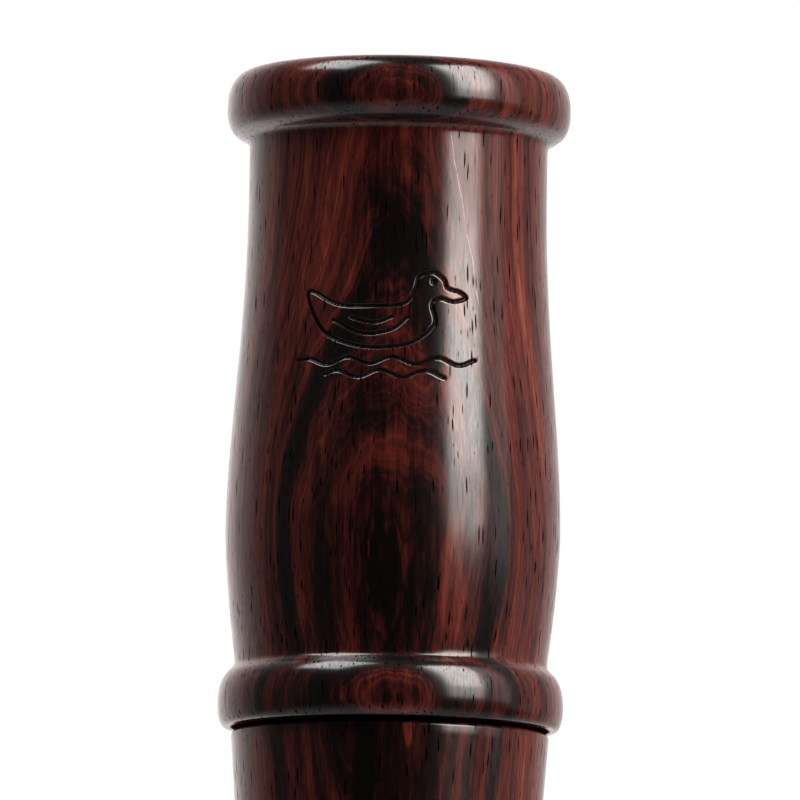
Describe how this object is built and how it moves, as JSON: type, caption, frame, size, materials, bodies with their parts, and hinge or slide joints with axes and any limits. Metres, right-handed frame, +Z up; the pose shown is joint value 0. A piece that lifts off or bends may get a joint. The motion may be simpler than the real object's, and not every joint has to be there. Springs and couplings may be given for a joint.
{
  "type": "duck call",
  "caption": "Turned hardwood duck call: beaded barrel over a waisted insert, with a sealed tone board, wedge and flexing reeds inside.",
  "frame": {"origin": "centre of the insert's flat exhaust-end ring, on the turning axis, where the call stands", "axes": "+Z up the turning axis to the mouth end of the barrel, -Y the side that the reeds face, +X to the right seen from there"},
  "size_m": [0.037, 0.037, 0.129],
  "materials": {
    "barrel_wood": "dark red-brown rosewood with black figure, under gloss lacquer",
    "insert_wood": "the same rosewood, slightly darker, under gloss lacquer",
    "hard_rubber": "machined and buffed black hard rubber",
    "soft_rubber": "matt black moulded rubber",
    "cork": "sanded natural cork",
    "reed_film": "translucent white polyester film"
  },
  "bodies": {
    "insert": {"insert": "insert_wood", "tone_board": "hard_rubber", "wedge": "cork"},
    "seals": {"o_ring_lower": "soft_rubber", "o_ring_upper": "soft_rubber"},
    "barrel": {"barrel": "barrel_wood"},
    "reed_lower": {"reed_lower": "reed_film"},
    "reed_upper": {"reed_upper": "reed_film"}
  },
  "joints": [
    {"name": "barrel_twist", "type": "hinge", "parent": "insert", "child": "seals", "pos_m": [0, 0, 0.0584], "axis": [0, 0, 1], "continuous": true},
    {"name": "barrel_pull", "type": "slide", "parent": "seals", "child": "barrel", "axis": [0, 0, 1], "range_m": [0, 0.062]},
    {"name": "reed_lower_flex", "type": "hinge", "parent": "insert", "child": "reed_lower", "pos_m": [0, -0.00005, 0.0848], "axis": [-1, 0, 0], "range_deg": [0, 1.8], "stiffness_Nm_per_rad": 0.012},
    {"name": "reed_upper_flex", "type": "hinge", "parent": "insert", "child": "reed_upper", "pos_m": [0, -0.00065, 0.0848], "axis": [-1, 0, 0], "range_deg": [0, 1.8], "stiffness_Nm_per_rad": 0.012}
  ],
  "couplings": [
    {"joint": "reed_upper_flex", "follows": "reed_lower_flex", "ratio": 1}
  ]
}
